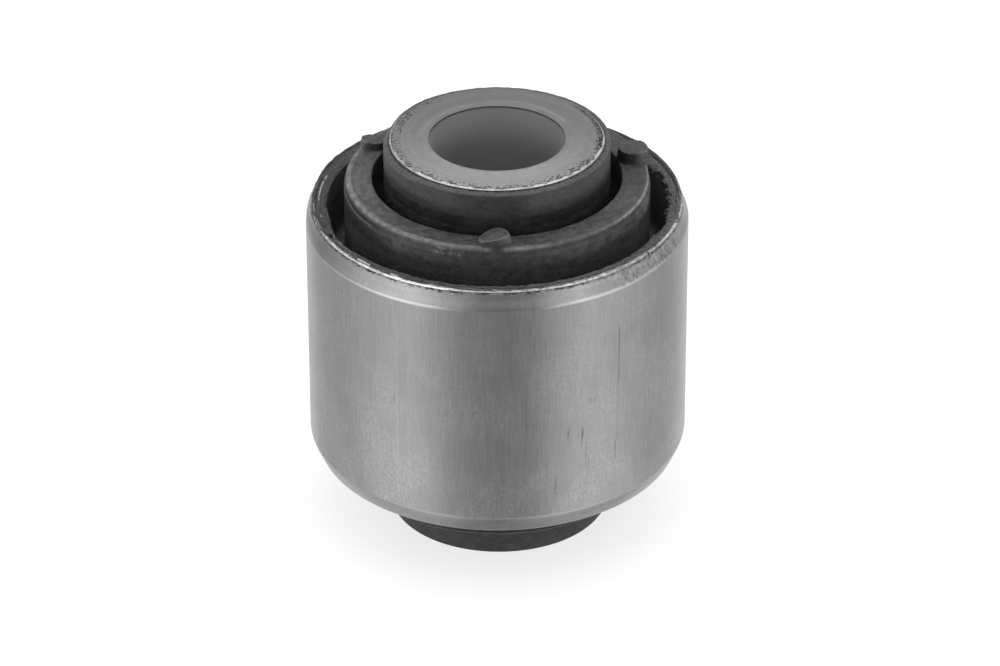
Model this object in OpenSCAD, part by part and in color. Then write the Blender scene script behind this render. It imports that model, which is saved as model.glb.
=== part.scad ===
// Rubber metal bush: two steel sleeves, one inside the other, with rubber bonded between them.
// Z runs along the bore, and the origin is at the middle of the bore.

/* [Outer sleeve] */
// Outside diameter, pressed into the eye of an arm
outer_d = 40; // [37:0.5:60]
// Length
outer_len = 28.8; // [22:0.2:36]
// Wall thickness
outer_wall = 1.6; // [1.3:0.1:2.4]
// Length of the upper chamfer along the sleeve
top_chamfer_len = 1.9; // [0.5:0.1:4]
// Depth of the upper chamfer, taken off the radius
top_chamfer_depth = 0.65; // [0.2:0.05:1.2]
// Length of the lower, lead-in chamfer along the sleeve
lead_in_len = 2.3; // [0.5:0.1:5]
// Depth of the lower, lead-in chamfer, taken off the radius
lead_in_depth = 1.15; // [0.3:0.05:1.25]

/* [Inner sleeve] */
// Bore diameter, for a bolt of 14 mm
bore_d = 14.1; // [8:0.1:18]
// Wall thickness
inner_wall = 4.1; // [2.5:0.1:5]
// Length
inner_len = 43.6; // [38:0.2:60]
// Chamfer at each mouth of the bore
mouth_chamfer = 0.25; // [0.1:0.05:0.8]
// Chamfer at the outer edge of each end face
edge_chamfer = 0.12; // [0.05:0.01:0.4]

/* [Rubber on the sleeves] */
// Thickness of the skin on the inner sleeve
skin = 0.65; // [0.4:0.05:1.2]
// Distance from the ends of the inner sleeve back to the skin
skin_setback = 0.1; // [0.05:0.05:1]
// Length of the slope that ends the skin
skin_slope = 0.45; // [0.2:0.05:1.5]
// Thickness of the lining in the outer sleeve
lining = 0.7; // [0.4:0.05:1.2]

/* [Raised ring] */
// Width of the groove between the skin and the ring
inner_groove_w = 1.2; // [0.6:0.1:2]
// Width of the groove between the ring and the lining
outer_groove_w = 1.75; // [0.8:0.05:2.4]
// Depth of the inner groove, from the end of the outer sleeve
inner_groove_depth = 6.5; // [2:0.5:9]
// Depth of the outer groove, from the end of the outer sleeve
outer_groove_depth = 7; // [2:0.5:9]
// Height of the ring above the upper end of the outer sleeve
ring_rise_top = 3; // [1:0.1:5]
// Length of the ring below the lower end of the outer sleeve
ring_rise_bottom = 2.6; // [1:0.1:5]
// Radius of the ring's outer shoulders
shoulder_r = 0.6; // [0.2:0.05:1]
// Width of the step that the mould's parting line leaves under the upper shoulder
parting_step = 0.12; // [0.05:0.01:0.3]
// Distance from the top of the ring down to the parting step
parting_drop = 0.95; // [0.7:0.05:1]

/* [Nubs on the ring] */
// Diameter of a nub
nub_d = 2.7; // [1:0.1:2.9]
// Height of a nub above the ring
nub_rise = 1.2; // [0.4:0.1:3]
// Radius of the rounded edge of a nub
nub_edge = 0.25; // [0.1:0.05:0.5]
// Direction of each nub from the axis, in degrees
nub_angles = [-90, 14, 154]; // [-180:1:180]

/* [Hidden] */
$fn = 128;

// Radii, from the bore outwards
bore_r = bore_d / 2;
inner_sleeve_r = bore_r + inner_wall;
skin_r = inner_sleeve_r + skin;
ring_in_r = skin_r + inner_groove_w;
outer_sleeve_r = outer_d / 2;
outer_sleeve_in_r = outer_sleeve_r - outer_wall;
lining_r = outer_sleeve_in_r - lining;
ring_out_r = lining_r - outer_groove_w;
ring_w = ring_out_r - ring_in_r;
ring_mid_r = (ring_in_r + ring_out_r) / 2;

// Heights, from the middle of the bore
inner_end_z = inner_len / 2;
outer_end_z = outer_len / 2;
skin_end_z = inner_end_z - skin_setback;
ring_top_z = outer_end_z + ring_rise_top;
ring_bottom_z = -outer_end_z - ring_rise_bottom;
// The cuts for the grooves run past the ring at both ends
groove_cut_z = outer_end_z + ring_rise_top + ring_rise_bottom;

// A fillet is never wider than the wall that carries it
shoulder = min(shoulder_r, ring_w / 2);
upper_shoulder_r = ring_out_r - parting_step;

// Turned steel tube with a chamfer at each end
module outer_sleeve() {
    color([0.57, 0.57, 0.57])
    rotate_extrude()
    polygon([
        [outer_sleeve_in_r, -outer_end_z],
        [outer_sleeve_r - lead_in_depth, -outer_end_z],
        [outer_sleeve_r, -outer_end_z + lead_in_len],
        [outer_sleeve_r, outer_end_z - top_chamfer_len],
        [outer_sleeve_r - top_chamfer_depth, outer_end_z],
        [outer_sleeve_in_r, outer_end_z]
    ]);
}

// Thick steel tube that stands out at both ends
module inner_sleeve() {
    color([0.62, 0.62, 0.61])
    rotate_extrude()
    polygon([
        [bore_r, -inner_end_z + mouth_chamfer],
        [bore_r + mouth_chamfer, -inner_end_z],
        [inner_sleeve_r - edge_chamfer, -inner_end_z],
        [inner_sleeve_r, -inner_end_z + edge_chamfer],
        [inner_sleeve_r, inner_end_z - edge_chamfer],
        [inner_sleeve_r - edge_chamfer, inner_end_z],
        [bore_r + mouth_chamfer, inner_end_z],
        [bore_r, inner_end_z - mouth_chamfer]
    ]);
}

// Section of the rubber that covers the inner sleeve
module skin_section() {
    polygon([
        [inner_sleeve_r, -skin_end_z],
        [skin_r, -skin_end_z + skin_slope],
        [skin_r, skin_end_z - skin_slope],
        [inner_sleeve_r, skin_end_z]
    ]);
}

// Section of a block between two radii and two heights
module block_section(r_in, r_out, z_low, z_high) {
    translate([r_in, z_low])
        square([r_out - r_in, z_high - z_low]);
}

// Section of one end of the ring, with its outer shoulder rounded
module ring_end_section(r_out, length) {
    block_section(ring_in_r, r_out - shoulder, 0, length);
    block_section(ring_in_r, r_out, 0, length - shoulder);
    translate([r_out - shoulder, length - shoulder])
        circle(r = shoulder);
}

// Section of a groove that is open upwards, with a round floor
module groove_section(r_in, r_out, depth) {
    floor_r = (r_out - r_in) / 2;
    floor_z = outer_end_z - depth;
    block_section(r_in, r_out, floor_z + floor_r, groove_cut_z);
    translate([r_in + floor_r, floor_z + floor_r])
        circle(r = floor_r);
}

module grooves_section() {
    groove_section(skin_r, ring_in_r, inner_groove_depth);
    groove_section(ring_out_r, lining_r, outer_groove_depth);
}

module rubber_section() {
    difference() {
        union() {
            skin_section();
            block_section(inner_sleeve_r, outer_sleeve_in_r, -outer_end_z, outer_end_z);
            ring_end_section(upper_shoulder_r, ring_top_z);
            ring_end_section(ring_out_r, ring_top_z - parting_drop);
            mirror([0, 1])
                ring_end_section(ring_out_r, -ring_bottom_z);
        }
        grooves_section();
        mirror([0, 1])
            grooves_section();
    }
}

// Round, flat-topped nub, drawn from the ring's top up with its edge rounded
module nub() {
    rotate_extrude() {
        block_section(0, nub_d / 2, -shoulder_r, nub_rise - nub_edge);
        block_section(0, nub_d / 2 - nub_edge, 0, nub_rise);
        translate([nub_d / 2 - nub_edge, nub_rise - nub_edge])
            circle(r = nub_edge);
    }
}

// Everything that is rubber is moulded in one piece and bonded to both sleeves
module rubber() {
    color([0.27, 0.27, 0.27]) {
        rotate_extrude()
            rubber_section();
        for (angle = nub_angles)
            rotate([0, 0, angle])
                translate([ring_mid_r, 0, ring_top_z])
                    nub();
    }
}

outer_sleeve();
rubber();
inner_sleeve();
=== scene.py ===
import math

import bmesh
import bpy
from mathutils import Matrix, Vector


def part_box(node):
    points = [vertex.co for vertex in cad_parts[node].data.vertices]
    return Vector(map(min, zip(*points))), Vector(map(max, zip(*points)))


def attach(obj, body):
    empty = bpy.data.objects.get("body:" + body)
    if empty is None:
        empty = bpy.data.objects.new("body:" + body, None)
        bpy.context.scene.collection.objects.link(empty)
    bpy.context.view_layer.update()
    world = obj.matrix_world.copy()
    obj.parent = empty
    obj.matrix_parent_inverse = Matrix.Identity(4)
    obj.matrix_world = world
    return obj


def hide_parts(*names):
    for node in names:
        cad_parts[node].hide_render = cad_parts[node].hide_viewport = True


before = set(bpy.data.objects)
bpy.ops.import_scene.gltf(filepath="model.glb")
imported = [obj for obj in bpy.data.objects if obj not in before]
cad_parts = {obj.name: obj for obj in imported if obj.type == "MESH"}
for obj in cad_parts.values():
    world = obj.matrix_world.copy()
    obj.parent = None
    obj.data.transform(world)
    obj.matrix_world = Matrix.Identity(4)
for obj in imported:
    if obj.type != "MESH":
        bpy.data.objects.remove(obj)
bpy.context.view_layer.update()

# Sizes are in millimetres here, and a metre is the scene's unit.
MM = 0.001

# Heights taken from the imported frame
SLEEVE_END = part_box("outer_sleeve")[1].z / MM
TUBE_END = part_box("inner_sleeve")[1].z / MM
SKIN_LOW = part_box("rubber")[0].z / MM

# Radii of the turned and moulded faces
SLEEVE_R = 20.0
SLEEVE_IN_R = 18.4
LINING_R = 17.7
RING_OUT_R = 15.95
RING_UPPER_R = 15.83
RING_MID_R = 14.475
RING_IN_R = 13.0
SKIN_R = 11.8
TUBE_R = 11.15
BORE_R = 7.05

# Heights of the rubber's faces
RING_TOP = 17.4
PARTING_Z = 16.45
RING_LOW = -17.0
SKIN_TOP = 21.7
INNER_FLOOR = 7.9
OUTER_FLOOR = 7.4

# Lower edge of the upper chamfer: height at the left, and how much higher it runs at the right
CHAMFER_Z = 12.24
CHAMFER_RUNOUT = 0.58
# Upper edge of the lead-in chamfer
LEAD_IN_Z = -12.3
# How much higher the rolled rim stands behind than in front
REAR_RISE = 0.46
# Share of its width by which the rolled rim stands inwards all round, and how much more at the front
RIM_PULL = 0.11
FRONT_PULL = 0.17
# Shift of the skin on the inner sleeve's lower end, towards the right
SKIN_SHIFT = 0.15
# Rubber film on the upper end of the outer sleeve: thickness, and how far out it may reach
FILM = 0.035
FILM_R = 18.95

# Steps round the axis in which each piece is turned
SLEEVE_STEPS = 1500
TUBE_STEPS = 1000
RUBBER_STEPS = 640
# Points closer than this are one point
JOIN = 0.002

# Flash curl on the upper end of the outer sleeve: direction in degrees, radius
CURL = (-155.4, 18.8)

# Nubs on the ring: direction in degrees, reach to either side, height of the top
FRONT = -90
NUBS = {FRONT: (1.95, 1.5, 18.6), 14: (1.5, 1.75, 18.74), 154: (0.95, 1.1, 18.3)}
# Reach of a nub across the ring
NUB_REACH = 1.46


def pick_piece(piece):
    bpy.ops.object.select_all(action="DESELECT")
    bpy.context.view_layer.objects.active = piece
    piece.select_set(True)


def start_edit(piece):
    pick_piece(piece)
    bpy.ops.object.mode_set(mode="EDIT")
    bpy.ops.mesh.select_all(action="DESELECT")


def end_edit():
    bpy.ops.object.mode_set(mode="OBJECT")


def pick_points(piece, points):
    """Selects the section's vertices that lie at the given points."""
    bpy.ops.mesh.select_all(action="DESELECT")
    mesh = bmesh.from_edit_mesh(piece.data)
    for vertex in mesh.verts:
        r, z = vertex.co.x / MM, vertex.co.z / MM
        vertex.select_set(any(abs(r - a) < JOIN and abs(z - b) < JOIN for a, b in points))
    mesh.select_flush(True)
    bmesh.update_edit_mesh(piece.data)


def draw_section(name, corners):
    """Closed section in the XZ plane, drawn from corner to corner."""
    bpy.ops.object.select_all(action="DESELECT")
    bpy.ops.mesh.primitive_plane_add(size=MM, location=(0, 0, 0))
    piece = bpy.context.object
    piece.name = name
    piece.data.name = name
    bpy.ops.object.mode_set(mode="EDIT")
    bpy.ops.mesh.select_mode(type="VERT")
    bpy.ops.mesh.merge(type="CENTER")
    r, z = corners[0]
    bpy.ops.transform.translate(value=(r * MM, 0, z * MM))
    for next_r, next_z in corners[1:]:
        step = ((next_r - r) * MM, 0, (next_z - z) * MM)
        bpy.ops.mesh.extrude_vertices_move(TRANSFORM_OT_translate={"value": step})
        r, z = next_r, next_z
    pick_points(piece, [corners[0], corners[-1]])
    bpy.ops.mesh.edge_face_add()
    return piece


def round_corner(piece, corner, setback, segments):
    pick_points(piece, [corner])
    bpy.ops.mesh.bevel(affect="VERTICES", offset=setback * MM, segments=segments, profile=0.5)


def divide(piece, start, end, cuts):
    pick_points(piece, [start, end])
    bpy.ops.mesh.subdivide(number_cuts=cuts)


def apply_modifier(piece, kind, **settings):
    pick_piece(piece)
    bpy.ops.object.modifier_add(type=kind)
    modifier = piece.modifiers[-1]
    for name, value in settings.items():
        setattr(modifier, name, value)
    bpy.ops.object.modifier_apply(modifier=modifier.name)


def turn(piece, steps):
    """Spins the section round the axis and closes it."""
    end_edit()
    apply_modifier(
        piece, "SCREW", axis="Z", angle=math.tau, screw_offset=0, steps=steps,
        render_steps=steps, use_merge_vertices=True, merge_threshold=JOIN * MM,
    )
    start_edit(piece)
    bpy.ops.mesh.select_all(action="SELECT")
    bpy.ops.mesh.remove_doubles(threshold=JOIN * MM)
    bpy.ops.mesh.normals_make_consistent(inside=False)
    end_edit()


def cylinder_place(point):
    """Radius, direction in degrees and height of a point."""
    return (
        math.hypot(point.x, point.y) / MM,
        math.degrees(math.atan2(point.y, point.x)),
        point.z / MM,
    )


def refine(piece, wanted, cuts):
    """Divides the faces whose middle is wanted, where a small form needs a finer mesh."""
    start_edit(piece)
    bpy.ops.mesh.select_mode(type="FACE")
    mesh = bmesh.from_edit_mesh(piece.data)
    for face in mesh.faces:
        face.select_set(wanted(*cylinder_place(face.calc_center_median())))
    bmesh.update_edit_mesh(piece.data)
    bpy.ops.mesh.subdivide(number_cuts=cuts)
    bpy.ops.mesh.select_mode(type="VERT")
    end_edit()


def shape(piece, part, weight_at, kind, **settings):
    """Applies a modifier to one part of a piece.

    The weight of a vertex is worked out from its radius, direction and height.
    """
    layer = piece.vertex_groups.new(name=part)
    for vertex in piece.data.vertices:
        weight = weight_at(*cylinder_place(vertex.co))
        if weight > 0:
            layer.add([vertex.index], min(weight, 1.0), "REPLACE")
    apply_modifier(piece, kind, vertex_group=part, **settings)


def push(piece, part, weight_at, distance, direction="Z"):
    """Moves a part up, or along another axis."""
    shape(
        piece, part, weight_at, "DISPLACE", direction=direction, strength=distance * MM, mid_level=0,
    )


def draw_out(piece, part, weight_at, radius):
    """Moves a part towards a radius, all the way where the weight is 1."""
    shape(
        piece, part, weight_at, "CAST", cast_type="CYLINDER", use_z=False, factor=1, radius=0,
        use_radius_as_size=False, size=radius * MM,
    )


def roughen(piece, part, weight_at, depth, grain, layers):
    """Moves a part in and out by a cloud pattern with the given grain."""
    texture = bpy.data.textures.new(part, "CLOUDS")
    texture.noise_scale = grain * MM
    texture.noise_depth = layers
    shape(
        piece, part, weight_at, "DISPLACE", direction="NORMAL", strength=depth * MM,
        mid_level=0.5, texture=texture, texture_coords="LOCAL",
    )


def ease(value, low, high):
    """Smooth step from 0 at low to 1 at high."""
    t = min(max((value - low) / (high - low), 0.0), 1.0)
    return t * t * (3 - 2 * t)


def window(value, low, high, soft):
    return ease(value, low - soft, low + soft) * (1 - ease(value, high - soft, high + soft))


def ripple(angle, *waves):
    """Uneven line round the axis: a sum of waves, each with its count and its phase."""
    total = sum(math.sin(math.radians(count * angle) + phase) for count, phase in waves)
    return 0.5 + 0.5 * total / len(waves)


def rear_rise(angle):
    """Share of the rim's rise in a direction: highest at the back right, 0 round the front."""
    return 0.8 * window((angle + 90) % 360 - 90, 5, 164, 9) + 0.2 * window(angle, 25, 75, 10)


def rim_pull(angle):
    """Share of its width by which the rolled rim stands inwards in a direction."""
    left = window(angle % 360, 152, 186, 8)
    return RIM_PULL + FRONT_PULL * window(angle, -104, -14, 20) - 0.08 * left


def make_outer_sleeve():
    end = SLEEVE_END
    # From the inside's lower edge out, up the wall, over the fold and its lip, and in again
    corners = [
        (SLEEVE_IN_R, -end), (18.8, -end), (19.12, -end + 0.15),
        (SLEEVE_R, LEAD_IN_Z), (SLEEVE_R, CHAMFER_Z),
        (19.53, end - 0.29), (19.41, end - 0.22), (19.48, end - 0.12),
        (19.34, end - 0.03), (19.0, end - 0.006), (18.7, end), (SLEEVE_IN_R, end),
    ]
    piece = draw_section("outer_sleeve_steel", corners)
    for place, cuts in enumerate((5, 1, 1, 2, 3, 2, 2), start=4):
        divide(piece, corners[place], corners[place + 1], cuts)
    for place, (setback, segments) in enumerate(((0.1, 2), (0.1, 2), (0.3, 5), (0.22, 5)), start=1):
        round_corner(piece, corners[place], setback, segments)
    turn(piece, SLEEVE_STEPS)

    def chamfer_weight(r, angle, z):
        up = min((end - 0.4 - z) / (end - 0.4 - CHAMFER_Z), 1.0) if z > 0 else 0.0
        return up * (0.5 + 0.5 * math.cos(math.radians(angle)))

    push(piece, "chamfer_edge", chamfer_weight, CHAMFER_RUNOUT)

    def burr_weight(r, angle, z):
        edge = ease(r, 19.1, 19.3) * ease(z, end - 0.5, end - 0.33)
        return edge * (0.3 + 0.7 * ripple(angle, (5, 1.0), (11, 2.2), (17, 0.4)))

    roughen(piece, "burr", burr_weight, 0.2, 0.8, 3)

    def land_weight(r, angle, z):
        return window(r, 18.75, 19.3, 0.1) * ease(z, 14.1, 14.3)

    roughen(piece, "land", land_weight, 0.05, 0.9, 3)

    def full_weight(r, angle, z):
        return 0.65 * window(z, 12.5, 13.6, 0.3) * window(angle % 360, 160, 202, 12)

    draw_out(piece, "full_chamfer", full_weight, SLEEVE_R)

    def rear_weight(r, angle, z):
        return ease(r, 18.9, 19.4) * ease(z, 12.9, 14.1) * rear_rise(angle)

    push(piece, "rear_rim", rear_weight, REAR_RISE)
    draw_out(piece, "rim_pull", lambda r, angle, z: rim_pull(angle) * ease(z, 12.6, 14.0), SLEEVE_IN_R)
    return piece


def make_inner_sleeve():
    end = TUBE_END
    edge, edge_top = (TUBE_R + 0.02, end - 0.13), (TUBE_R - 0.08, end - 0.03)
    corners = [
        (BORE_R, -end + 0.25), (BORE_R + 0.25, -end),
        (TUBE_R - 0.12, -end), (TUBE_R, -end + 0.12),
        (TUBE_R, end - 0.25), edge, edge_top,
        (BORE_R + 1.1, end - 0.03), (BORE_R + 0.5, end - 0.035),
        (BORE_R + 0.05, end - 0.05), (BORE_R, end - 0.1),
    ]
    piece = draw_section("inner_sleeve_steel", corners)
    divide(piece, edge, edge_top, 2)
    divide(piece, edge_top, corners[7], 9)
    round_corner(piece, corners[9], 0.025, 2)
    turn(piece, TUBE_STEPS)

    def worn_weight(r, angle, z):
        return ease(r, 10.95, 11.08) * ease(z, 21.5, 21.65)

    roughen(piece, "worn_edge", worn_weight, 0.06, 0.45, 4)
    return piece


def nub_form(angle, t, rho):
    """How far a nub stands up, from 0 to 1, at a place along and across the ring."""
    left, right = NUBS[angle][:2]
    reach = math.hypot(t / (left if t < 0 else right), rho / NUB_REACH)
    if rho > 0:
        reach += 0.16 * ease(rho, 0.7, 1.4) * min(abs(t), 1.0)
    gentle = 0.1 * ease(t, -0.4, 0.7) if angle == FRONT else 0.0
    form = 1 - ease(reach, 0.88 - 1.6 * gentle, 1.06 + gentle)
    if angle == FRONT:
        form *= 0.45 + 0.55 * ease(t, -2.2, 0.6)
    return form


def nub_place(angle, r, direction):
    turned = math.radians(direction - angle)
    return r * math.sin(turned), r * math.cos(turned) - RING_MID_R


def near_nub(r, direction, z):
    if z < RING_TOP - 0.75 or not RING_IN_R - 0.05 < r < RING_OUT_R + 0.05:
        return False
    for angle in NUBS:
        t, rho = nub_place(angle, r, direction)
        if abs(t) < 2.15 and abs(rho) < 2.5:
            return True
    return False


def curl_distance(r, direction):
    turned = math.radians(direction - CURL[0])
    return math.hypot(r * math.sin(turned), r * math.cos(turned) - CURL[1])


def shape_ring(piece):
    """Parting step and nubs of the upper ring."""
    refine(piece, near_nub, 2)
    refine(piece, lambda r, angle, z: z > SLEEVE_END and curl_distance(r, angle) < 0.6, 2)

    def parting_weight(r, angle, z):
        if abs(r - RING_UPPER_R) > 0.02 or abs(z - PARTING_Z - 0.03) > 0.01:
            return 0
        return 1 - window(angle, -176, -140, 18)

    push(piece, "parting", parting_weight, 0.36)
    highest = 2

    def nub_weight(r, direction, z):
        if not near_nub(r, direction, z):
            return 0
        risen = [
            nub_form(angle, *nub_place(angle, r, direction)) * (NUBS[angle][2] - z) for angle in NUBS
        ]
        return max(risen) / highest

    push(piece, "nubs", nub_weight, highest)

    def lean_weight(r, angle, z):
        return 0.5 * window(angle, 7, 22, 1.5) * ease(z, 16.6, 18.3) * ease(r, 14.9, 15.6)

    draw_out(piece, "leaning_nub", lean_weight, 16.6)


def shape_lining(piece):
    """Lining, film and flash curl at the upper end of the outer sleeve."""
    end = SLEEVE_END

    def lining_weight(r, angle, z):
        thin = (
            0.55 * window(angle, -162, -128, 6) + 0.3 * window(angle, -157, -142, 4)
            + 0.36 * window(angle, -128, -66, 10) + 0.14 * window(angle, -66, -30, 8)
            + 0.55 * window(angle, -22, -11, 4) + 0.35 * window(angle, 5, 15, 5)
        )
        return min(thin, 0.88) * (17.5 < r < 18.4) * ease(z, 12.5, 14.1)

    draw_out(piece, "thin_lining", lining_weight, SLEEVE_IN_R)

    def film_weight(r, angle, z):
        if z < end - 0.06:
            return 0
        uneven = ripple(angle, (37, 0.3), (61, 1.9), (23, 4.0), (97, 2.5))
        patchy = ripple(angle, (3, 0.2), (7, 2.9))
        under_curl = window(angle, -158.7, -154.7, 0.5)
        return ease(r, 18.2, 18.43) * max(0.05 + 0.3 * uneven + 0.15 * patchy, 0.92 * under_curl)

    draw_out(piece, "film_edge", film_weight, FILM_R)

    def curl_weight(r, angle, z):
        if z < end or r > 18.92:
            return 0
        return window(curl_distance(r, angle), 0.2, 0.36, 0.07)

    push(piece, "curl", curl_weight, 0.3)

    def edge_weight(r, angle, z):
        return window(z, end - 1.1, end + 0.2, 0.3) * (17 < r < 18.15)

    def teeth_weight(r, angle, z):
        return edge_weight(r, angle, z) * window(angle, -15, 24, 5)

    roughen(piece, "lining_edge", edge_weight, 0.28, 0.7, 3)
    roughen(piece, "teeth", teeth_weight, 1.3, 0.45, 2)


def shape_skin(piece):
    """Ends of the skin on the inner sleeve."""

    def behind_weight(r, angle, z):
        dashes = ripple(angle, (29, 0.5), (47, 2.0), (71, 4.0))
        end_edge = ease(r, 11.5, 11.75) * ease(z, 21, 21.2)
        return end_edge * window(angle, 12, 140, 9) * (0.75 + 0.25 * dashes)

    push(piece, "skin_behind", behind_weight, 0.2)

    def slope_weight(r, angle, z):
        return ease(r, 11.5, 11.75) * ease(z, 20.6, 21.2) * window(angle % 360, 156, 222, 9)

    push(piece, "skin_slope", slope_weight, -0.42)

    def frayed_weight(r, angle, z):
        frayed = ripple(angle, (31, 0.7), (53, 2.6), (83, 1.1), (127, 0.2))
        return ease(z, 21.55, 21.65) * (r < 11.3) * window(angle, -176, -2, 12) * frayed

    push(piece, "frayed_edge", frayed_weight, -0.22)
    push(piece, "low_skin", lambda r, angle, z: (11.4 < r < 12) * ease(-z, 9, 14), SKIN_SHIFT, "X")


def make_rubber():
    end = SLEEVE_END
    film = end + FILM
    corners = [
        (TUBE_R, SKIN_LOW - 0.09), (SKIN_R - 0.22, SKIN_LOW - 0.09), (SKIN_R, SKIN_LOW + 0.25),
        (SKIN_R, -INNER_FLOOR), (RING_IN_R, -INNER_FLOOR),
        (RING_IN_R, RING_LOW), (RING_OUT_R, RING_LOW),
        (RING_OUT_R, -OUTER_FLOOR), (LINING_R, -OUTER_FLOOR),
        (LINING_R, -end), (SLEEVE_IN_R, -end),
        (SLEEVE_IN_R, end - 0.05), (18.46, end - 0.05), (18.44, film),
        (LINING_R + 0.3, film), (LINING_R + 0.09, film - 0.1), (LINING_R, end - 0.35),
        (LINING_R, OUTER_FLOOR), (RING_OUT_R, OUTER_FLOOR),
        (RING_OUT_R, PARTING_Z - 0.12), (RING_OUT_R, PARTING_Z), (RING_UPPER_R, PARTING_Z + 0.03),
        (RING_UPPER_R, PARTING_Z + 0.46), (RING_UPPER_R, RING_TOP), (RING_IN_R, RING_TOP),
        (RING_IN_R, INNER_FLOOR), (SKIN_R, INNER_FLOOR),
        (SKIN_R, SKIN_TOP - 0.36), (TUBE_R, SKIN_TOP),
    ]
    piece = draw_section("moulded_rubber", corners)
    for side in (-1, 1):
        for r in (SKIN_R, RING_IN_R):
            round_corner(piece, (r, side * INNER_FLOOR), 0.58, 4)
        for r in (RING_OUT_R, LINING_R):
            round_corner(piece, (r, side * OUTER_FLOOR), 0.85, 5)
    round_corner(piece, (RING_OUT_R, RING_LOW), 0.55, 5)
    round_corner(piece, (RING_IN_R, RING_LOW), 0.12, 2)
    round_corner(piece, (RING_UPPER_R, RING_TOP), 0.5, 8)
    round_corner(piece, (RING_IN_R, RING_TOP), 0.18, 3)
    round_corner(piece, (SKIN_R, SKIN_TOP - 0.36), 0.12, 3)
    divide(piece, (RING_IN_R + 0.18, RING_TOP), (RING_UPPER_R - 0.5, RING_TOP), 12)
    divide(piece, (LINING_R, end - 0.35), (LINING_R, OUTER_FLOOR + 0.85), 5)
    divide(piece, (18.44, film), (LINING_R + 0.3, film), 3)
    divide(piece, (RING_OUT_R, PARTING_Z - 0.12), (RING_OUT_R, OUTER_FLOOR + 0.85), 3)
    divide(piece, (SKIN_R, SKIN_TOP - 0.48), (SKIN_R, INNER_FLOOR + 0.58), 3)
    turn(piece, RUBBER_STEPS)
    shape_ring(piece)
    shape_lining(piece)
    shape_skin(piece)

    def soft_weight(r, angle, z):
        return float(11.5 < r < 16.2 and abs(z) > 9 and z > -21.2)

    roughen(piece, "soft_faces", soft_weight, 0.08, 3.0, 3)
    return piece


def put(tree, kind, **settings):
    made = tree.nodes.new(kind)
    for key, value in settings.items():
        setattr(made, key, value)
    return made


def feed(socket, value):
    """Joins another node's output to a socket, or sets the socket to a number or colour."""
    if isinstance(value, bpy.types.NodeSocket):
        socket.id_data.links.new(value, socket)
    else:
        socket.default_value = value


def tree_of(*values):
    """Node tree of the first value that is a socket and not a number."""
    return next(value.id_data for value in values if isinstance(value, bpy.types.NodeSocket))


def calc(operation, first, second=0.0, third=0.0):
    made = put(tree_of(first, second, third), "ShaderNodeMath", operation=operation)
    for socket, value in zip(made.inputs, (first, second, third)):
        feed(socket, value)
    return made.outputs[0]


def combine(operation, values):
    """One value after the other, worked into the first."""
    result = values[0]
    for value in values[1:]:
        result = calc(operation, result, value)
    return result


def times(*values):
    return combine("MULTIPLY", values)


def add(*values):
    return combine("ADD", values)


def most(*values):
    return combine("MAXIMUM", values)


def minus(first, second):
    return calc("SUBTRACT", first, second)


def less(value, *shares):
    """Value times one minus each share."""
    for share in shares:
        value = times(value, minus(1.0, share))
    return value


def lighten(level, *factors):
    """Level plus the product of the factors."""
    return add(level, times(*factors))


def darken(level, *factors):
    """Level less a share of itself, which is the product of the factors."""
    return less(level, times(*factors))


def span(value, low, high, to_low=0.0, to_high=1.0, kind="SMOOTHSTEP"):
    """Turns a value between low and high into one between to_low and to_high."""
    made = put(tree_of(value), "ShaderNodeMapRange", interpolation_type=kind)
    for name, entry in (
        ("Value", value), ("From Min", low), ("From Max", high),
        ("To Min", to_low), ("To Max", to_high),
    ):
        feed(made.inputs[name], entry)
    return made.outputs["Result"]


def mix(amount, first, second):
    """Between two values: the first where amount is 0, the second where it is 1."""
    made = put(tree_of(amount), "ShaderNodeMix", data_type="FLOAT")
    feed(made.inputs["Factor"], amount)
    feed(made.inputs["A"], first)
    feed(made.inputs["B"], second)
    return made.outputs["Result"]


def curve(value, stops, kind="LINEAR"):
    """Grey curve through (place, level) stops, with places from 0 to 1."""
    ramp = put(tree_of(value), "ShaderNodeValToRGB")
    ramp.color_ramp.interpolation = kind
    feed(ramp.inputs[0], value)
    marks = ramp.color_ramp.elements
    marks.remove(marks[0])
    for index, (place, level) in enumerate(stops):
        mark = marks[0] if index == 0 else marks.new(place)
        mark.position = place
        mark.color = (level, level, level, 1)
    grey = put(tree_of(value), "ShaderNodeRGBToBW")
    feed(grey.inputs[0], ramp.outputs["Color"])
    return grey.outputs[0]


def new_group(name, entries, results):
    """Empty node group with number sockets: entries with their defaults, and results."""
    group = bpy.data.node_groups.new(name, "ShaderNodeTree")
    for entry, value in entries.items():
        socket = group.interface.new_socket(entry, in_out="INPUT", socket_type="NodeSocketFloat")
        socket.default_value = value
    for result in results:
        group.interface.new_socket(result, in_out="OUTPUT", socket_type="NodeSocketFloat")
    return group, put(group, "NodeGroupInput").outputs, put(group, "NodeGroupOutput").inputs


def use(tree, group, **values):
    """Places a group and fills its entries; the outputs come back by name."""
    made = put(tree, "ShaderNodeGroup")
    made.node_tree = group
    for name, value in values.items():
        feed(made.inputs[name.replace("_", " ")], value)
    return made.outputs


def axis_place_group():
    """Radius, height and direction of a point on the part, in millimetres and degrees."""
    group, _, results = new_group("place_round_axis", {}, ["radius", "height", "direction"])
    parts = put(group, "ShaderNodeSeparateXYZ")
    feed(parts.inputs[0], put(group, "ShaderNodeTexCoord").outputs["Object"])
    x, y, z = parts.outputs
    squares = calc("MULTIPLY_ADD", x, x, times(y, y))
    feed(results["radius"], times(calc("SQRT", squares), 1 / MM))
    feed(results["height"], times(z, 1 / MM))
    feed(results["direction"], calc("DEGREES", calc("ARCTAN2", y, x)))
    return group


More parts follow.
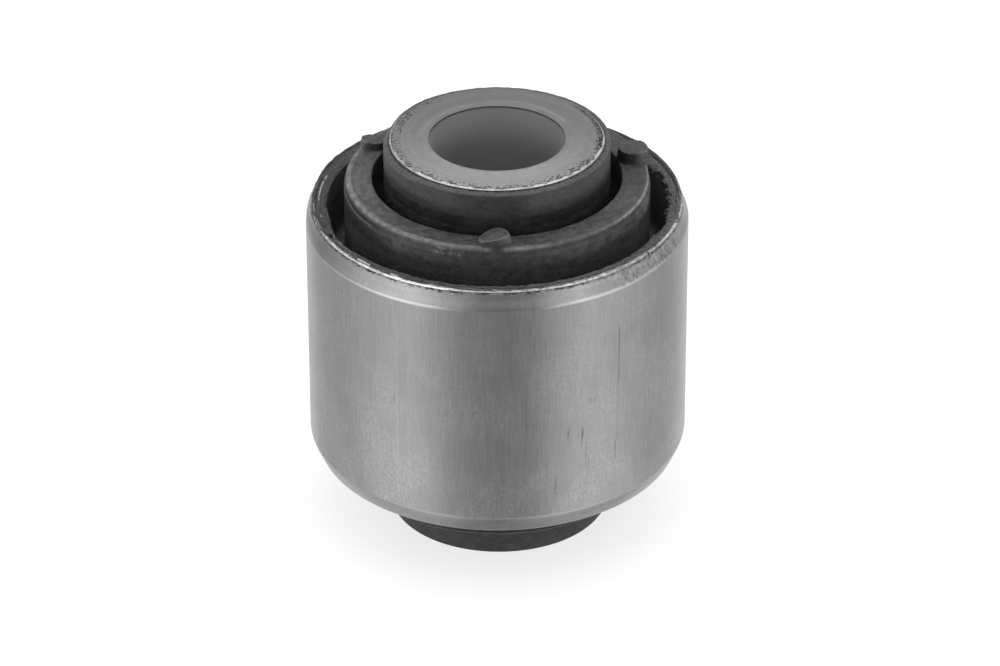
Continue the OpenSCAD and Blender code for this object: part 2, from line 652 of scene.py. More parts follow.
def grain_group(place_group):
    """Grain stretched round the axis and across it, in millimetres, from 0 to 1."""
    entries = {"round": 1.0, "across": 1.0, "detail": 2.0, "low": 0.35, "high": 0.65, "shift": 0.0}
    group, entries, results = new_group("turned_grain", entries, ["grain"])
    parts = put(group, "ShaderNodeSeparateXYZ")
    feed(parts.inputs[0], put(group, "ShaderNodeTexCoord").outputs["Object"])
    place = use(group, place_group)
    across = add(place["radius"], place["height"])
    vector = put(group, "ShaderNodeCombineXYZ")
    for socket, value in zip(vector.inputs, parts.outputs[:2]):
        scaled = calc("DIVIDE", times(value, 1 / MM), entries["round"])
        feed(socket, add(scaled, entries["shift"]))
    feed(vector.inputs[2], calc("DIVIDE", across, entries["across"]))
    made = put(group, "ShaderNodeTexNoise")
    feed(made.inputs["Vector"], vector.outputs[0])
    feed(made.inputs["Scale"], 1.0)
    feed(made.inputs["Detail"], entries["detail"])
    level = span(made.outputs["Fac"], entries["low"], entries["high"], kind="LINEAR")
    feed(results["grain"], level)
    return group


def band_group():
    """Mask that is 1 between two values of a measure and fades out softly."""
    entries = {"measure": 0.0, "low": 0.0, "high": 1.0, "soft": 0.1}
    group, entries, results = new_group("soft_band", entries, ["mask"])
    measure, low, high, soft = entries[:4]
    rise = span(measure, minus(low, soft), add(low, soft))
    fall = span(measure, minus(high, soft), add(high, soft), 1.0, 0.0)
    feed(results["mask"], times(rise, fall))
    return group


PLACE = axis_place_group()
GRAIN = grain_group(PLACE)
BAND = band_group()


def band(measure, low, high, soft):
    return use(tree_of(measure), BAND, measure=measure, low=low, high=high, soft=soft)["mask"]


class Finish:
    """A material in the making, with the measures and masks that the finishes share."""

    def __init__(self, name):
        self.material = bpy.data.materials.new(name)
        self.material.use_nodes = True
        self.tree = self.material.node_tree
        self.shader = self.tree.nodes["Principled BSDF"]
        place = use(self.tree, PLACE)
        self.radius, self.height, self.direction = place.values()

    def grain(self, round_axis, across, low=0.35, high=0.65, detail=2.0, shift=0.0):
        made = use(
            self.tree, GRAIN, round=round_axis, across=across, low=low, high=high, detail=detail,
            shift=shift,
        )
        return made["grain"]

    def round_curve(self, stops):
        """Level that changes with direction, through (degrees, level) stops."""
        turned = span(self.direction, -180, 180, kind="LINEAR")
        return curve(turned, [((place + 180) / 360, level) for place, level in stops])

    def round_marks(self, marks, wander=0.0):
        """Level that is set between the directions of each (start, stop, level) mark, and 0 elsewhere.

        The ends of the marks are uneven by the given number of degrees.
        """
        place = self.direction
        if wander:
            ends = times(self.grain(0.3, 0.22, 0.2, 0.8, detail=3, shift=29), wander)
            place = add(place, ends)
        turned = span(place, -180, 180, kind="LINEAR")
        marks = sorted(marks)
        total = 0.0
        for first in range(0, len(marks), 15):
            stops = [(0.0, 0.0)]
            for start, stop, level in marks[first:first + 15]:
                stops += [((start + 180) / 360, level), ((stop + 180) / 360, 0.0)]
            total = add(total, curve(turned, stops, "CONSTANT"))
        return total

    def spot(self, angles, measure, limits, soft=0.1, soft_angle=0.3):
        """Mask between two directions and between two values of another measure."""
        turned = band(self.direction, *angles, soft_angle)
        return times(turned, band(measure, *limits, soft))

    def marked(self, marks, measure, low, high, soft):
        """Marks round the axis, kept between two values of a measure."""
        return times(band(measure, low, high, soft), self.round_marks(marks))

    def film_marks(self):
        """Streaks, specks, dark grit and left side of the rubber film on the sleeve's end."""
        streaks = self.grain(1.6, 0.12, detail=3, shift=25)
        specks = self.grain(0.35, 0.3, 0.4, 0.6, detail=3, shift=51)
        grit = self.grain(0.45, 0.22, 0.48, 0.6, detail=3, shift=91)
        grit = times(grit, band(self.direction, -50, 40, 8), 0.5)
        left_side = band(calc("ABSOLUTE", self.direction), 152, 200, 8)
        return streaks, specks, grit, left_side

    def metal(self, level):
        feed(self.shader.inputs["Metallic"], level)

    def grey(self, level):
        colour = put(self.tree, "ShaderNodeCombineColor")
        for socket in colour.inputs[:3]:
            feed(socket, level)
        feed(self.shader.inputs["Base Color"], colour.outputs[0])

    def rough(self, level):
        feed(self.shader.inputs["Roughness"], level)

    def bump(self, *reliefs):
        """Reliefs are (height from 0 to 1, depth in millimetres), laid over each other."""
        normal = None
        for relief, depth in reliefs:
            made = put(self.tree, "ShaderNodeBump")
            made.inputs["Distance"].default_value = depth * MM
            feed(made.inputs["Height"], relief)
            if normal:
                feed(made.inputs["Normal"], normal)
            normal = made.outputs["Normal"]
        feed(self.shader.inputs["Normal"], normal)


# Painted shade in the fold under the rolled rim, in dashes: first and last direction, darkness
FOLD_SHADE_MARKS = (
    (-178, -166, 0.6), (-165, -154, 0.5), (-153, -141, 0.8), (-140, -136.4, 0.75), (-134, -129.8, 1.0),
    (-128.2, -126.6, 0.8), (-125.6, -121.6, 0.8), (-117.2, -113.4, 0.5), (-112, -107.4, 1.0),
    (-107, -99.8, 0.95), (-99.4, -96.4, 0.6), (-96, -92.6, 0.9), (-92.2, -88.4, 0.5), (-88, -76, 1.0),
    (-75.6, -72.8, 0.8), (-72.4, -63, 0.9), (-62, -54, 0.3), (-53.5, -51, 0.4), (-46, -37.2, 0.8),
    (-34.6, -26, 0.8), (-24, -16, 0.7), (-13, -4, 0.5), (150, 178, 0.6),
)

# Bare steel that shows through the rubber on the sleeve's end: first and last direction, brightness
INNER_CHIPS = (
    (-180, -177.6, 0.5), (-172.4, -169.6, 0.9), (-152.5, -143.5, 1.0), (163, 164.6, 0.8),
    (166.2, 167.8, 1.0), (168.6, 173.6, 1.0), (174, 180, 0.9),
)
MIDDLE_CHIPS = ((-140, -134.8, 0.8), (-126, -123.3, 1.0), (-91.6, -90.4, 0.9))
OUTER_CHIPS = ((-180, -174, 0.4), (-169, -162, 0.3))

# Dark gaps in the rubber on the sleeve's end, in the same order
INNER_GAPS = ((-178, -172.8, 0.9),)
MIDDLE_GAPS = ((-152, -143, 0.7), (-134, -127, 0.5), (-84.5, -83, 0.5), (-33.5, -27, 0.7), (-10, 8, 0.5))
OUTER_GAPS = ((-180, -163, 0.6), (3, 30, 0.6), (164, 180, 0.85))

# Marks on the wall: direction, lowest and highest point, half width in degrees, darkness
WALL_MARKS = (
    (-51.4, 1.5, 8.2, 0.12, 0.62), (-51.9, -5.0, 1.5, 0.10, 0.30), (-52.5, -7.4, -5.2, 0.20, 0.40),
    (-64.0, -3.6, -2.5, 0.22, 0.60), (-64.3, -4.9, -3.4, 0.12, 0.50), (-62.9, -7.2, -4.0, 0.10, 0.45),
    (-62.1, -8.6, -6.2, 0.10, 0.36), (-68.7, -3.3, -2.3, 0.26, 0.36), (-81.6, -1.6, 2.2, 0.25, 0.18),
    (-122.2, 0.2, 0.9, 0.24, 0.34), (-72.6, -9.8, -7.6, 0.30, 0.24), (-60.8, 0.3, 0.8, 1.4, 0.12),
)


def wall_marks(steel):
    marks = 0.0
    for angle, low, high, half, dark in WALL_MARKS:
        mark = steel.spot((angle - half, angle + half), steel.height, (low, high), 0.4, 0.12)
        marks = add(marks, times(mark, dark))
    return marks


def outer_steel_finish():
    steel = Finish("ground_outer_steel")
    r, z, angle = steel.radius, steel.height, steel.direction
    run = times(calc("COSINE", calc("RADIANS", angle)), CHAMFER_RUNOUT / 2)
    above_edge = minus(z, add(run, CHAMFER_Z + CHAMFER_RUNOUT / 2))
    wall = times(span(z, -12.45, -12.25), span(above_edge, 0.1, -0.1))
    chamfer = times(span(above_edge, -0.05, 0.1), span(z, 14.2, 14.1))
    # Ground and handled wall, with painted light: lighter towards the bottom and in bands at the left
    # and right
    lines = steel.grain(0.17, 2.6, detail=4)
    broad = steel.grain(1.4, 18, detail=2, shift=7)
    blotches = steel.grain(0.26, 0.42, 0.36, 0.64, detail=4, shift=3)
    rows = steel.grain(3.5, 0.2, 0.38, 0.62, detail=3, shift=8)
    patches = steel.grain(6, 7, 0.4, 0.6, detail=2, shift=15)
    patches = times(patches, span(z, 12, -12, 0.45, 1.0, "LINEAR"))
    lit_left = band(angle, -146, -112, 9)
    level = add(
        0.465, times(lines, 0.065), times(broad, 0.025), times(rows, 0.022),
        times(blotches, patches, wall, 0.14), span(z, 7, -9, 0, 0.03, "LINEAR"),
        times(lit_left, span(z, 8, -6, 0.012, 0.042)),
        times(band(angle, -66, -38, 9), span(z, 8, -6, 0.01, 0.04)),
    )
    light_line = steel.spot((-121.25, -120.95), z, (-12, 10.5), 0.5, 0.15)
    level = lighten(level, light_line, 0.08)
    level = less(level, wall_marks(steel))
    # Burnished edges of the two chamfers, with painted highlights that change with direction
    burnish_and_highlight = steel.round_curve([
        (-180, 0.1), (-165, 0.25), (-150, 0.45), (-135, 0.7), (-125, 1.0), (-109, 0.9), (-103, 0.3),
        (-97, 0.0), (-79, 0.0), (-72, 0.75), (-64, 0.8), (-50, 0.6), (-32, 0.4), (-18, 0.1), (0, 0.0),
        (180, 0.1),
    ])
    upper_edge = times(band(above_edge, -0.12, 0.16, 0.08), burnish_and_highlight)
    lower_edge = band(z, -12.42, -12.22, 0.09)
    level = add(level, times(upper_edge, 0.4), times(lower_edge, 0.12))
    # Painted shade on the lead-in chamfer below its edge, less at the left
    painted_shade = minus(0.11, times(lit_left, 0.13))
    level = darken(level, span(z, -12.4, -12.7), painted_shade)
    # Turned upper chamfer, stained here and there, with painted light and shade that change with
    # direction
    stain_and_painted_light = steel.round_curve([
        (-180, 0.95), (-166, 0.88), (-155, 0.72), (-147, 0.88), (-138, 1.02), (-130, 0.99), (-118, 1.16),
        (-110, 1.22), (-102, 1.07), (-95, 0.74), (-88, 0.68), (-80, 0.76), (-72, 0.96), (-65, 1.15),
        (-58, 0.86), (-50, 0.92), (-42, 1.0), (-35, 1.42), (-28, 1.15), (-20, 1.12), (-12, 0.86),
        (10, 0.8), (180, 0.95),
    ])
    rings = steel.grain(26, 0.13, detail=3)
    stained_and_lit = times(level, stain_and_painted_light, add(0.95, times(rings, 0.1)))
    smears = steel.grain(0.3, 1.6, 0.42, 0.62, detail=3, shift=17)
    stained_and_lit = darken(stained_and_lit, smears, band(angle, -53, -19, 5), 0.42)
    level = mix(chamfer, level, stained_and_lit)
    # Painted shade in dashes in the fold under the rolled rim
    jagged = add(z, times(steel.grain(0.35, 0.5, 0.25, 0.75, detail=4, shift=41), -0.26))
    dashes = steel.grain(0.7, 0.5, 0.36, 0.56, detail=3, shift=11)
    marks = steel.round_marks(FOLD_SHADE_MARKS, 1.8)
    fold_shade = times(
        span(jagged, 13.84, 13.95), span(z, 14.32, 14.26), span(r, 19.0, 19.1),
        add(0.4, times(dashes, 0.6)), add(0.3, times(marks, 0.7)),
    )
    level = mix(fold_shade, level, 0.1)
    # Bare rim, with a painted highlight along its crown that changes with direction
    top = times(span(z, 14.2, 14.27), span(r, 18.0, 18.2))
    rim_highlight = steel.round_curve([
        (-180, 0.5), (-166, 0.72), (-150, 0.98), (-140, 0.88), (-128, 0.92), (-122, 1.0), (-106, 0.95),
        (-102, 0.55), (-94, 0.4), (-88, 0.48), (-76, 0.46), (-70, 0.66), (-60, 0.7), (-48, 0.56),
        (-36, 0.52), (-28, 0.9), (-10, 0.9), (10, 0.75), (140, 0.5), (160, 0.3), (180, 0.5),
    ])
    worn = steel.grain(0.5, 0.35, 0.3, 0.6, detail=4, shift=43)
    film_streaks, specks, grit, left_side = steel.film_marks()
    hatch = steel.grain(1.8, 0.1, 0.46, 0.56, detail=4, shift=77)
    rim_highlight = darken(rim_highlight, hatch, left_side, 0.7)
    level = mix(top, level, times(rim_highlight, add(0.6, times(worn, 0.5))))
    # Rubber smeared over the end face inside the bare rim
    pull = add(times(band(angle, -104, -14, 20), FRONT_PULL), RIM_PULL)
    from_bore = minus(r, SLEEVE_IN_R)
    rim_r = add(SLEEVE_IN_R, calc("DIVIDE", from_bore, minus(1.0, pull)))
    reach = steel.round_curve([
        (-180, 0.86), (-170, 0.82), (-160, 0.78), (-152, 0.68), (-140, 0.7), (-128, 0.66), (-122, 0.56),
        (-116, 0.5), (-104, 0.5), (-94, 0.5), (-90, 0.44), (-82, 0.34), (-76, 0.38), (-70, 0.46),
        (-60, 0.42), (-50, 0.38), (-45, 0.33), (-38, 0.38), (-34, 0.55), (-30, 0.66), (-15, 0.78),
        (0, 0.82), (15, 0.85), (30, 1.1), (145, 1.1), (160, 0.98), (180, 0.86),
    ])
    streaks = steel.grain(2.4, 0.14, 0.38, 0.62, detail=3, shift=5)
    film_r = add(18.62, times(reach, 0.9))
    inside = minus(film_r, rim_r)
    ragged = add(inside, times(add(streaks, -0.5), 0.24), times(add(specks, -0.5), 0.12))
    chip_r = steel.round_curve([
        (-180, 18.59), (-172, 18.55), (-150, 18.53), (-120, 18.6), (120, 18.7), (164, 18.69),
        (172, 18.66), (180, 18.59),
    ])
    chips = most(
        steel.marked(INNER_CHIPS, minus(r, chip_r), -0.05, 0.05, 0.03),
        steel.marked(MIDDLE_CHIPS, rim_r, 18.78, 19.02, 0.05),
        steel.marked(OUTER_CHIPS, r, 19.07, 19.14, 0.03),
    )
    chips = times(chips, add(0.6, times(worn, 0.4)))
    residue = less(times(span(ragged, -0.04, 0.07), top), chips)
    lighter = times(band(angle, -40, 35, 8), 0.04)
    beside_line = times(span(inside, 0.3, 0.0), 0.04)
    smeared = add(0.022, lighter, times(film_streaks, 0.09), times(specks, 0.06))
    smeared = minus(smeared, beside_line)
    smeared = less(smeared, grit, times(left_side, 0.3))
    gaps = most(
        steel.marked(INNER_GAPS, r, 18.44, 18.58, 0.05),
        steel.marked(MIDDLE_GAPS, r, 18.66, 18.78, 0.05),
        steel.marked(OUTER_GAPS, r, 18.86, 19.06, 0.05),
    )
    smeared = less(smeared, gaps)
    level = mix(residue, level, smeared)
    level = mix(times(chips, top), level, 0.9)
    notch = times(steel.spot((-36.3, -35.2), rim_r, (19.0, 19.7), 0.08), span(z, 12.6, 13.0))
    level = darken(level, notch, 0.6)
    steel.grey(level)
    steel.metal(minus(1.0, residue))
    rough = add(0.25, times(lines, 0.04), times(broad, 0.02), times(chamfer, 0.03))
    steel.rough(mix(most(residue, fold_shade), rough, 0.6))
    steel.bump((lines, 0.0016), (broad, 0.0025), (blotches, 0.001))
    return steel.material


def inner_steel_finish():
    steel = Finish("turned_inner_steel")
    r, z, angle = steel.radius, steel.height, steel.direction
    steel.metal(1.0)
    face = times(span(z, 21.5, 21.6), span(r, 7.0, 7.1))
    rings = steel.grain(30, 0.12, detail=3)
    wide_rings = steel.grain(22, 0.5, detail=2, shift=4)
    mottle = steel.grain(0.9, 0.7, detail=4, shift=9)
    fine = steel.grain(0.25, 0.25, detail=3, shift=6)
    level = add(
        0.37, times(rings, 0.05), times(wide_rings, 0.045), times(mottle, 0.04),
        times(fine, 0.03),
    )
    # Painted shade over the back of the face, lighter tracks near the bore at the back and the front,
    # painted glints on its turned rings, and a slightly lighter front
    back_shade = steel.round_curve([
        (-180, 0.5), (-160, 0.2), (-140, 0.0), (-60, 0.0), (-35, 0.0), (-15, 0.4), (10, 0.8), (40, 1.0),
        (150, 1.0), (165, 0.8), (180, 0.5),
    ])
    level = darken(level, back_shade, 0.18)
    track = times(band(r, 7.45, 8.3, 0.12), band(angle, 25, 178, 8))
    glint = most(
        steel.spot((28, 56), r, (7.88, 8.0), 0.06, 5), steel.spot((55, 92), r, (8.16, 8.28), 0.06, 8),
        times(steel.spot((110, 165), r, (7.75, 7.85), 0.06, 8), 0.7),
    )
    front_track = times(band(r, 7.0, 7.8, 0.25), band(angle, -168, -50, 12))
    level = add(
        level, times(track, 0.05), times(glint, 0.2), times(front_track, 0.05),
        times(band(angle, -135, -50, 15), 0.02),
    )
    # Rubber specks, denser towards the outer edge
    dense = steel.round_curve([
        (-180, 0.75), (-165, 0.8), (-150, 1.0), (-135, 0.9), (-110, 1.0), (-90, 0.9), (-60, 0.95),
        (-40, 1.05), (-15, 1.2), (0, 1.1), (12, 0.5), (20, 0.0), (110, 0.0), (130, 0.35), (160, 0.6),
        (180, 0.75),
    ])
    near_edge = times(span(r, 9.9, 11.02, 0.0, 1.0, "LINEAR"), dense)
    raw = steel.grain(0.34, 0.2, 0.0, 1.0, detail=4, shift=13)
    uneven = times(steel.grain(1.5, 1.2, 0.4, 0.6, detail=2, shift=14), 0.09)
    specks = span(add(raw, times(near_edge, 0.17), uneven), 0.64, 0.7)
    specks = times(specks, span(near_edge, 0.02, 0.1), span(r, 11.12, 11.04))
    pale = times(span(add(raw, times(near_edge, -0.12)), 0.36, 0.31), near_edge)
    level = lighten(level, pale, 0.12)
    level = mix(times(specks, 0.85), level, 0.1)
    cloudy = add(0.35, times(steel.grain(0.5, 0.4, 0.42, 0.58, detail=4, shift=57), 0.65))
    stain_and_painted_light = times(steel.spot((-14, 40), r, (10.45, 11.0), 0.12, 8), cloudy)
    level = darken(level, stain_and_painted_light, 0.62)
    # Worn outer edge with a painted highlight, uneven at the front and dimmer at the back
    chipped = steel.grain(0.9, 0.5, 0.38, 0.56, detail=4, shift=61)
    rolled = times(band(angle, -150, -8, 10), add(chipped, -0.3), 0.2)
    edge = times(span(add(r, rolled), 10.98, 11.04), span(z, 21.4, 21.5))
    burnish_and_highlight = steel.round_curve([
        (-180, 0.9), (-168, 1.0), (-150, 1.0), (-120, 0.9), (-90, 0.8), (-60, 0.95), (-15, 0.85),
        (10, 0.75), (32, 0.6), (50, 0.3), (150, 0.28), (168, 0.6), (180, 0.9),
    ])
    edge = times(edge, add(0.4, times(chipped, 0.6)))
    level = mix(edge, level, burnish_and_highlight)
    # Dull bore, darker with depth in painted shade, and a painted shadow under its lip
    bore = times(span(r, 7.09, 7.07), span(z, 21.74, 21.7))
    level = mix(bore, level, span(z, 16.5, 20.3, 0.53, 0.74))
    lip = times(span(r, 7.14, 7.09), span(z, 21.58, 21.66))
    level = mix(lip, level, 0.22)
    steel.grey(level)
    rough = add(0.3, times(mottle, 0.06))
    rough = mix(edge, rough, 0.28)
    rough = mix(specks, rough, 0.6)
    steel.rough(mix(bore, rough, 0.6))
    lay = times(minus(12.0, r), face)
    steel.bump((lay, 0.085), (rings, 0.0012), (wide_rings, 0.002), (specks, 0.012))
    return steel.material


def rubber_finish():
    rubber = Finish("moulded_black_rubber")
    r, z, angle = rubber.radius, rubber.height, rubber.direction
    tree = rubber.tree
    normal = put(tree, "ShaderNodeSeparateXYZ")
    feed(normal.inputs[0], put(tree, "ShaderNodeTexCoord").outputs["Normal"])
    upward = normal.outputs[2]
    mottle = rubber.grain(1.0, 0.8, 0.4, 0.6, detail=5)
    broad = rubber.grain(5, 3, detail=2, shift=21)
    fine = rubber.grain(0.2, 0.2, 0.38, 0.62, detail=3, shift=31)
    level = add(0.026, times(mottle, 0.014), times(broad, 0.014), times(fine, 0.013))
    # Talc and painted light on the faces that look up: lighter at the left and right than at the front,
    # darker beside the left nub
    talc_and_painted_light = rubber.round_curve([
        (-180, 1.0), (-160, 0.98), (-140, 0.72), (-120, 0.46), (-100, 0.34), (-80, 0.34), (-60, 0.5),
        (-40, 0.58), (-20, 0.64), (0, 0.34), (30, 0.45), (150, 0.5), (166, 0.6), (176, 0.9), (180, 1.0),
    ])
    spread = add(0.33, times(mottle, 0.54), times(fine, 0.25))
    even = add(0.48, times(fine, 0.25))
    looking_up = times(span(upward, 0.3, 0.95), span(r, 12.2, 12.6))
    level = lighten(level, looking_up, talc_and_painted_light, spread, 0.1)
    # Dust on the ring's outer wall
    dusty = rubber.round_curve([
        (-180, 0.1), (-150, 0.05), (-140, 0.25), (-130, 0.85), (-120, 0.4), (-108, 0.38), (-100, 0.18),
        (-85, 0.1), (-75, 0.4), (-66, 0.55), (-30, 0.5), (-20, 1.0), (-10, 1.0), (0, 0.6), (30, 0.3),
        (180, 0.1),
    ])
    ring_wall = times(band(r, 15.6, 16.1, 0.1), band(z, 15.4, 17.0, 0.5))
    level = lighten(level, ring_wall, dusty, spread, 0.1)
    # Painted highlights on the ring's shoulder and on the nubs' rounded edges, where the rubber is also
    # rubbed
    round_edge = band(upward, 0.3, 0.9, 0.12)
    shoulder = times(band(r, 15.22, 15.76, 0.16), band(z, 16.95, 17.5, 0.12))
    narrow = mix(band(angle, -75, 60, 15), 1.0, band(upward, 0.36, 0.86, 0.12))
    shoulder = times(shoulder, narrow)
    wear_and_highlight = rubber.round_curve([
        (-180, 0.8), (-150, 1.0), (-120, 1.0), (-104, 0.7), (-94, 0.55), (-80, 1.0), (-68, 0.45),
        (-60, 0.15), (-50, 0.5), (-40, 1.1), (-28, 2.1), (-8, 2.2), (2, 1.6), (30, 0.9), (180, 0.8),
    ])
    patchy = add(0.35, times(rubber.grain(0.8, 0.35, 0.4, 0.62, detail=4, shift=2), 0.65))
    nub_edge = times(round_edge, band(z, 17.75, 18.8, 0.15), span(r, 12.6, 12.9))
    level = add(level, times(shoulder, wear_and_highlight, patchy, 0.2), times(nub_edge, 0.12))
    # Side nubs: painted light on the outer side of their flanks, painted shade towards the column
    from_front = calc("ABSOLUTE", add(angle, 90))
    flank = times(band(z, 17.5, 18.75, 0.1), span(upward, 0.6, 0.3), span(from_front, 12, 20))
    level = lighten(level, flank, span(r, 14.6, 15.4), spread, 0.1)
    level = darken(level, flank, span(r, 14.9, 14.2), 0.6)
    scuffs = times(
        rubber.spot((-114, -103), z, (16.4, 17.1), 0.15, 2), band(r, 15.5, 16.1, 0.1),
        rubber.grain(0.6, 0.3, 0.5, 0.64, detail=3, shift=81),
    )
    level = lighten(level, scuffs, 0.16)
    # Trace of the mould's parting line, with painted shade in the crease above it and on the wall below
    # it, and painted light on its ledge
    parting_light_and_shade = times(band(angle, -176, -140, 12), band(r, 15.7, 16.05, 0.05))
    level = darken(level, parting_light_and_shade, band(z, 16.56, 16.86, 0.1), 0.5)
    level = lighten(level, parting_light_and_shade, band(z, 16.22, 16.46, 0.12), patchy, 0.05)
    level = darken(level, parting_light_and_shade, band(z, 14.6, 16.1, 0.1), 0.45)
    # Column: painted light above the ring except at the front, and painted light on the slope at its
    # end, which also has pits
    column = band(r, 11.0, 12.1, 0.1)
    aside = minus(1.0, times(band(angle, -113, -74, 7), 0.9))
    level = lighten(level, column, band(z, 19.6, 21.6, 0.4), aside, even, 0.07)
    slope = times(column, span(upward, 0.25, 0.5), span(z, 19, 20))
    pits = rubber.grain(0.5, 0.3, 0.5, 0.6, detail=3, shift=33)
    level = lighten(level, slope, 0.045)
    level = darken(level, slope, pits, 0.3)
    lip = times(slope, span(r, 11.36, 11.26))
    level = darken(level, lip, 0.7)
    # Painted shade on the column lower down, where the ring shades it, deeper across the front and right
    low_column = times(column, band(z, 12.5, 18.9, 0.5))
    painted_shade = add(0.12, times(band(angle, -122, 10, 8), 0.22))
    level = darken(level, low_column, painted_shade)
    level = lighten(level, column, band(z, -21.6, -15, 0.5), spread, 0.03)
    # Painted highlight along the ring's lower edge
    low_edge = times(band(z, -16.92, -16.78, 0.06), span(r, 15.0, 15.4))
    level = lighten(level, low_edge, patchy, 0.16)
    # Film on the sleeve's end, streaked and smeared
    film = times(span(r, 17.6, 17.75), span(z, 14.1, 14.3))
    streaks, specks, grit, left_side = rubber.film_marks()
    filmed = add(
        0.026, times(streaks, 0.055), times(specks, 0.05),
        times(band(angle, -80, 35, 10), 0.025),
    )
    holes = rubber.grain(0.5, 0.35, 0.46, 0.54, detail=2, shift=71)
    holes = times(band(angle, -9, 22, 4), band(r, 17.6, 18.05, 0.1), holes)
    filmed = less(filmed, times(holes, 0.85), grit, times(left_side, 0.3))
    level = mix(film, level, filmed)
    # Flash curl: painted highlight on its rim and painted shade in its pit
    turned = calc("RADIANS", minus(angle, CURL[0]))
    along = times(turned, r)
    across = minus(r, CURL[1])
    squares = add(times(along, along), times(across, across))
    distance = calc("SQRT", squares)
    curl = times(film, band(distance, 0.25, 0.44, 0.04), band(across, -0.6, -0.08, 0.06))
    pit_shade = times(film, span(distance, 0.24, 0.17))
    level = lighten(level, curl, 0.24)
    level = darken(level, pit_shade, 0.95)
    # Grooves a little lighter, more at the left and right
    inside = times(band(r, 11.7, 17.9, 0.1), band(z, 6.5, 14.0, 1.0))
    groove_lift = add(
        0.012, times(band(angle, -35, 60, 15), 0.05),
        times(band(calc("ABSOLUTE", angle), 150, 200, 10), 0.05),
    )
    level = lighten(level, inside, groove_lift)
    rubber.grey(level)
    rubber.rough(add(0.5, times(mottle, 0.1)))
    rubber.bump((broad, 0.02), (mottle, 0.03), (fine, 0.008))
    return rubber.material


def finish_piece(piece, node, material):
    pick_piece(piece)
    bpy.ops.object.shade_smooth_by_angle(angle=math.radians(40))
    piece.data.materials.clear()
    piece.data.materials.append(material)
    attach(piece, "root")
    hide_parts(node)


def studio_light():
    """Soft light from overhead and from both sides, darker behind the camera."""
    world = bpy.data.worlds.new("soft_studio")
    bpy.context.scene.world = world
    world.use_nodes = True
    tree = world.node_tree
    tree.nodes.clear()
    parts = put(tree, "ShaderNodeSeparateXYZ")
    feed(parts.inputs[0], put(tree, "ShaderNodeTexCoord").outputs["Generated"])
    x, y, z = parts.outputs
    turned = calc("ARCTAN2", x, times(y, -1.0))
    around = span(turned, -math.pi, math.pi, kind="LINEAR")
    panels = [
        (-180, 0.64), (-150, 0.66), (-125, 0.57), (-100, 0.56), (-85, 0.68), (-70, 0.78), (-56, 0.80),
        (-44, 0.79), (-28, 0.46), (-10, 0.35), (4, 0.32), (20, 0.34), (34, 0.65), (50, 0.79), (64, 0.77),
        (80, 0.73), (96, 0.60), (110, 0.58), (125, 0.60), (150, 0.70), (180, 0.64),
    ]
    level = curve(around, [((place + 180) / 360, strength) for place, strength in panels])
    lobes = span(level, 0.6, 0.85)
    height = calc("MULTIPLY_ADD", z, 0.5, 0.5)
    lift = curve(height, [
        (0.0, 0.0), (0.26, 0.0), (0.35, 0.45), (0.47, 0.5), (0.55, 0.3), (0.65, 0.15), (0.75, 0.0),
    ])
    level = times(level, calc("MULTIPLY_ADD", lobes, lift, 1.0))
    # Brighter far corners below the horizon, which edge the sleeve's wall with light
    far_corners = span(calc("ABSOLUTE", turned), 2.3, 2.85)
    corners = times(far_corners, span(z, 0.1, -0.1))
    level = times(level, calc("MULTIPLY_ADD", corners, 0.4, 1.0))
    # The backdrop is darker above the horizon and brightens upwards
    backdrop = curve(height, [
        (0.0, 0.5), (0.55, 0.5), (0.62, 0.42), (0.67, 0.38), (0.72, 0.43), (0.76, 0.52), (0.8, 0.62),
        (0.85, 0.66),
    ])
    in_front = curve(height, [(0.0, 0.5), (0.5, 0.5), (0.58, 0.6), (0.7, 0.64), (0.8, 0.6)])
    backdrop = mix(span(y, -0.3, 0.4), in_front, backdrop)
    level = times(level, times(backdrop, 2.0))
    level = mix(span(z, -0.995, -0.95), 0.32, level)
    level = mix(span(z, 0.6, 0.9), level, 1.45)
    light = put(tree, "ShaderNodeBackground")
    feed(light.inputs["Strength"], level)
    white = put(tree, "ShaderNodeBackground")
    seen = put(tree, "ShaderNodeMixShader")
    feed(seen.inputs[0], put(tree, "ShaderNodeLightPath").outputs["Is Camera Ray"])
    feed(seen.inputs[1], light.outputs[0])
    feed(seen.inputs[2], white.outputs[0])
    feed(put(tree, "ShaderNodeOutputWorld").inputs[0], seen.outputs[0])


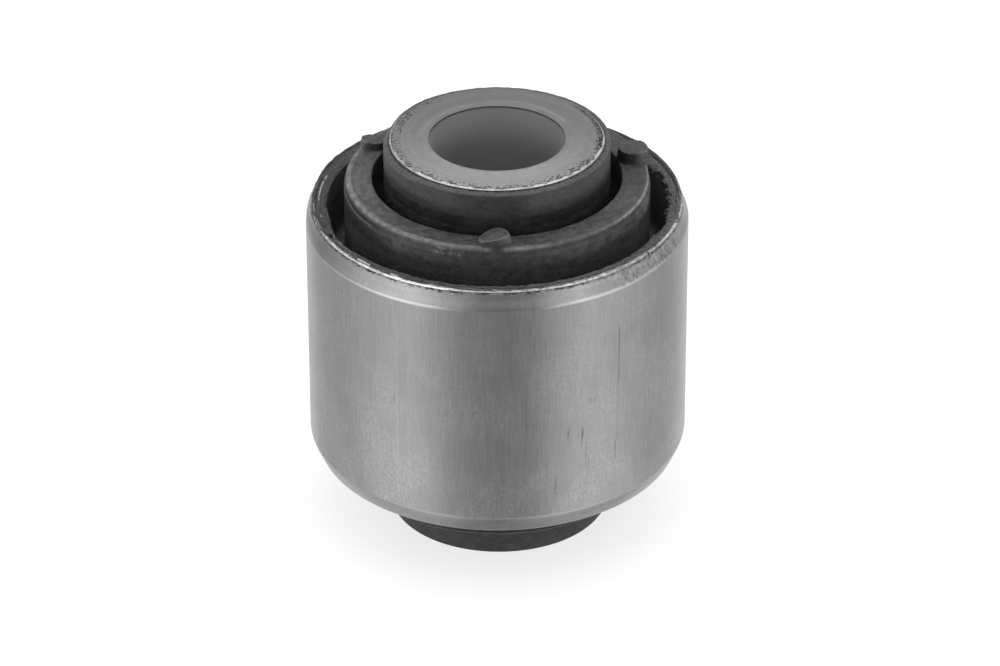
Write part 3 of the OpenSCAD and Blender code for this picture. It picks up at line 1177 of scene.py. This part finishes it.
def pale_floor():
    bpy.ops.object.select_all(action="DESELECT")
    bpy.ops.mesh.primitive_plane_add(size=6, location=(0, 0, -TUBE_END * MM))
    floor = bpy.context.object
    floor.name = "pale_floor"
    material = bpy.data.materials.new("pale_floor")
    material.use_nodes = True
    tree = material.node_tree
    tree.nodes.clear()
    paint = put(tree, "ShaderNodeBsdfDiffuse")
    paint.inputs["Color"].default_value = (0.42, 0.42, 0.42, 1)
    glow = put(tree, "ShaderNodeEmission")
    glow.inputs["Strength"].default_value = 0.76
    both = put(tree, "ShaderNodeAddShader")
    feed(both.inputs[0], paint.outputs[0])
    feed(both.inputs[1], glow.outputs[0])
    one_sided = put(tree, "ShaderNodeMixShader")
    feed(one_sided.inputs[0], put(tree, "ShaderNodeNewGeometry").outputs["Backfacing"])
    feed(one_sided.inputs[1], both.outputs[0])
    feed(one_sided.inputs[2], put(tree, "ShaderNodeBsdfTransparent").outputs[0])
    feed(put(tree, "ShaderNodeOutputMaterial").inputs[0], one_sided.outputs[0])
    floor.data.materials.append(material)
    floor.visible_diffuse = False
    floor.visible_glossy = False
    floor.visible_transmission = False
    floor.visible_shadow = False


def studio_camera():
    camera = bpy.data.cameras.new("camera")
    camera.lens = 179.4
    camera.sensor_width = 36
    camera.clip_start = 0.01
    holder = bpy.data.objects.new("camera", camera)
    bpy.context.scene.collection.objects.link(holder)
    distance = 528.05 * MM
    tilt = math.radians(30.44)
    roll = math.radians(-0.13)
    aim = Vector((0.27, 0, -1.69)) * MM
    holder.location = aim + distance * Vector((0, -math.cos(tilt), math.sin(tilt)))
    holder.rotation_euler = (math.pi / 2 - tilt, 0, 0)
    holder.rotation_euler.rotate_axis("Z", roll)
    bpy.context.scene.camera = holder


bpy.context.scene.view_settings.view_transform = "Standard"
studio_light()
pale_floor()
studio_camera()
finish_piece(make_outer_sleeve(), "outer_sleeve", outer_steel_finish())
finish_piece(make_inner_sleeve(), "inner_sleeve", inner_steel_finish())
finish_piece(make_rubber(), "rubber", rubber_finish())
